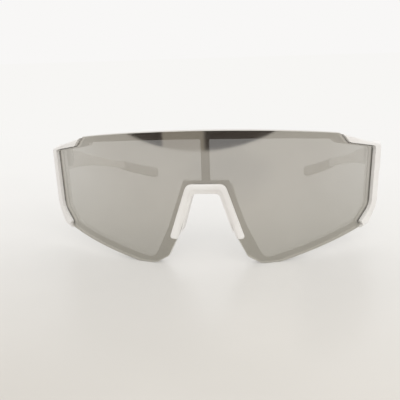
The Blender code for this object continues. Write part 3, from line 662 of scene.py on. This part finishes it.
def make_smooth_copy(node, body, material):
    """A merged copy of a rigid node, with its round faces shaded round and its flat ones flat."""
    bm = bmesh.new()
    bm.from_mesh(nodes[node].data)
    bmesh.ops.remove_doubles(bm, verts=bm.verts, dist=MERGE)
    bmesh.ops.dissolve_limit(bm, angle_limit=LEVEL_FLATNESS, verts=bm.verts, edges=bm.edges)
    piece = new_piece("smooth_" + node, bm, [material], COPY_SHARP)
    weighted_normals(piece)
    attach(piece, body)
    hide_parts(node)


# Stage, in metres

TABLE_FRONT = -0.386
TABLE_BACK = 1.6
TABLE_HALF = 0.9
TABLE_SLANT = -0.15
# Painted light falloff along the table, from the camera's end to behind the glasses: darker towards the
# camera
TABLE_PAINTED_FALLOFF = ((-0.40, "C4C0B8"), (-0.16, "D0CCC5"), (-0.05, "DDDBD7"), (0.08, "E6E4E1"))
# Painted soft shadow of the camera on the near part of the table, which the middle of the lens mirrors
CAMERA_SHADE_PLACE = (0.035, -0.29, 0)
CAMERA_SHADES = ((0.03, "E4E4E4"), (0.075, "EEEEEE"), (0.125, "FFFFFF"))
# Along the table, where it fades into the backdrop for the camera, metal and glass
BEHIND_FADE = (-0.24, 0.24)
# From the glasses outwards, where it fades for the camera alone
FAR_FADE = (0.24, 0.36)
ROOM_PLACE = -2.0
ROOM_HALF = 5.0
ROOM_TOP = -0.01
ROOM_DROP = 1.6
# Painted light and shade of the dim room, along the wall from left to right: a dark part, a paler opening
# and a dark part again
ROOM_SHADES = ((-ROOM_HALF, "4A423B"), (-1.16, "4A423B"), (-1.10, "B0A99D"),
               (-0.24, "B0A99D"), (-0.18, "453D36"), (ROOM_HALF, "544B43"))


def stage_sheet(name, corner_place, material):
    """A flat sheet of the stage. Its four corners, at -1 and 1 both ways, go to their places."""
    bm = bmesh.new()
    bmesh.ops.create_grid(bm, x_segments=1, y_segments=1, size=1)
    for vert in bm.verts:
        vert.co = corner_place(vert.co.x, vert.co.y)
    mesh = bpy.data.meshes.new(name)
    bm.to_mesh(mesh)
    bm.free()
    mesh.materials.append(material)
    sheet = bpy.data.objects.new(name, mesh)
    bpy.context.scene.collection.objects.link(sheet)
    return sheet


def backdrop_seen(tree):
    """1 for the rays that meet the pale backdrop: the camera's and those off metal or through glass."""
    path = add_node(tree, "ShaderNodeLightPath")
    either = add_node(tree, "ShaderNodeMath", LARGER, n0=path.outputs["Is Camera Ray"],
                      n1=path.outputs["Is Glossy Ray"]).outputs["Value"]
    return add_node(tree, "ShaderNodeMath", LARGER, n0=either,
                    n1=path.outputs["Is Transmission Ray"]).outputs["Value"]


def table_fade(tree, place, deep):
    """1 where the table has turned into the backdrop."""
    behind = add_node(tree, "ShaderNodeMapRange", SOFT_RANGE, Value=deep, n1=BEHIND_FADE[0],
                      n2=BEHIND_FADE[1]).outputs["Result"]
    seen_behind = add_node(tree, "ShaderNodeMath", PRODUCT, n0=behind,
                           n1=backdrop_seen(tree)).outputs["Value"]
    length = add_node(tree, "ShaderNodeVectorMath", {"operation": "LENGTH"}, n0=place).outputs["Value"]
    far = add_node(tree, "ShaderNodeMapRange", SOFT_RANGE, Value=length, n1=FAR_FADE[0],
                   n2=FAR_FADE[1]).outputs["Result"]
    camera_ray = add_node(tree, "ShaderNodeLightPath").outputs["Is Camera Ray"]
    seen_far = add_node(tree, "ShaderNodeMath", PRODUCT, n0=far, n1=camera_ray).outputs["Value"]
    return add_node(tree, "ShaderNodeMath", LARGER, n0=seen_behind, n1=seen_far).outputs["Value"]


def satin_laminate():
    """White laminate with a satin gloss, barely speckled, with painted light falloff towards the camera
    and a painted soft shadow of the camera. Far off it fades into the pale backdrop.
    """
    paper_speckle = 60 * MM
    material, tree, shader = new_material("satin_white_laminate")
    place = add_node(tree, "ShaderNodeTexCoord").outputs["Object"]
    deep = add_node(tree, "ShaderNodeSeparateXYZ", Vector=place).outputs["Y"]
    reach = add_node(tree, "ShaderNodeVectorMath", {"operation": "DISTANCE"}, n0=place,
                     n1=CAMERA_SHADE_PLACE).outputs["Value"]
    # The table's colour: painted light falloff times the camera's painted soft shadow
    near = add_node(tree, "ShaderNodeMix", COLOUR_PRODUCT, n0=1.0, n6=ramped(tree, deep, TABLE_PAINTED_FALLOFF),
                    n7=ramped(tree, reach, CAMERA_SHADES)).outputs[2]
    colour = add_node(tree, "ShaderNodeMix", COLOUR_PRODUCT, n0=1.0, n6=near,
                      n7=mottled(tree, paper_speckle, "FBFBFB", "FFFFFF")).outputs[2]
    connect(tree, shader, Base_Color=colour, Roughness=0.30, IOR=1.5)
    pale = add_node(tree, "ShaderNodeEmission", Color=srgb("F7F6F4"), Strength=1.0)
    mix = add_node(tree, "ShaderNodeMixShader", n0=table_fade(tree, place, deep),
                   n1=shader.outputs["BSDF"], n2=pale.outputs["Emission"])
    tree.links.new(mix.outputs["Shader"], tree.nodes["Material Output"].inputs["Surface"])
    return material


def glowing_room_wall():
    """Wall of a dim room that glows with flat colours of painted light and shade, and takes no light from
    the table's lamps.
    """
    material, tree, shader = new_material("glowing_dim_room")
    place = add_node(tree, "ShaderNodeTexCoord").outputs["Object"]
    across = add_node(tree, "ShaderNodeSeparateXYZ", Vector=place).outputs["X"]
    glow = add_node(tree, "ShaderNodeEmission", Color=ramped(tree, across, ROOM_SHADES), Strength=1.0)
    tree.links.new(glow.outputs["Emission"], tree.nodes["Material Output"].inputs["Surface"])
    tree.nodes.remove(shader)
    return material


def table_corner(across, deep):
    front = TABLE_FRONT + TABLE_SLANT * across * TABLE_HALF
    return Vector((across * TABLE_HALF, TABLE_BACK if deep > 0 else front, 0))


def room_corner(across, up):
    return Vector((across * ROOM_HALF, ROOM_PLACE, ROOM_TOP if up > 0 else ROOM_TOP - ROOM_DROP))


def add_stage():
    """The table, and the dim room past its front edge, behind the camera, which the lens's top mirrors."""
    table = stage_sheet("table_top", table_corner, satin_laminate())
    room = stage_sheet("dim_room", room_corner, glowing_room_wall())
    room.visible_camera = False


# Light

LAMP_WIDTH = 1.4
LAMP_HEIGHT = 1.0
# Name, place and aim in metres, watts and colour
LAMPS = (("window_light", (0.2, 1.0, 1.1), (0, 0, 0), 3.5, "FDFDFF"),
         ("front_fill", (0.45, -1.1, 1.0), (0, -0.05, 0.02), 6, "FFFDFB"))


def add_world():
    """Soft even light all round, and a pale backdrop for the camera, metal and glass."""
    world = bpy.data.worlds.new("studio")
    bpy.context.scene.world = world
    world.use_nodes = True
    tree = world.node_tree
    look = add_node(tree, "ShaderNodeMix", COLOUR_MIX, n0=backdrop_seen(tree),
                    n6=srgb("F3F2F0"), n7=srgb("F8F7F6"))
    background = tree.nodes["Background"]
    tree.links.new(look.outputs[2], background.inputs["Color"])
    background.inputs["Strength"].default_value = 1.0


def add_lamp(name, place, aim, power, colour):
    data = bpy.data.lights.new(name, "AREA")
    data.shape = "RECTANGLE"
    data.size, data.size_y = LAMP_WIDTH, LAMP_HEIGHT
    data.energy = power
    data.color = srgb(colour)[:3]
    lamp = bpy.data.objects.new(name, data)
    bpy.context.scene.collection.objects.link(lamp)
    lamp.location = place
    lamp.rotation_euler = (Vector(aim) - Vector(place)).to_track_quat("-Z", "Y").to_euler()
    lamp.visible_camera = False


def make_glasses():
    nylon, rubber, grey = moulded_nylon(), soft_elastomer(), grey_rubber()
    strip, stock = stamped_steel(), turned_steel()
    make_lens(mirror_coat(), tinted_polycarbonate(), lens_edge())
    make_wrapped_piece("white_frame", "frame_front", FRAME_REACH, nylon)
    make_wrapped_piece("white_nose_clip", "nose_bridge_clip", CLIP_REACH, nylon)
    for side, hand in HANDS:
        make_pad(side, hand, rubber)
        make_sleeve(side, hand, grey)
        temple = "temple_" + hand
        make_smooth_copy(f"temple_arm_{hand}", temple, nylon)
        make_smooth_copy(f"hinge_front_leaf_{hand}", "front", strip)
        make_smooth_copy(f"hinge_temple_leaf_{hand}", temple, strip)
        make_smooth_copy(f"hinge_screw_{hand}", "front", stock)
        for order in ("a", "b"):
            make_smooth_copy(f"rivet_front_{hand}_{order}", "front", stock)
            make_smooth_copy(f"rivet_temple_{hand}_{order}", temple, stock)


bpy.context.scene.view_settings.view_transform = "Standard"
add_camera()
add_world()
add_stage()
for lamp in LAMPS:
    add_lamp(*lamp)
make_glasses()

bpy.context.view_layer.update()
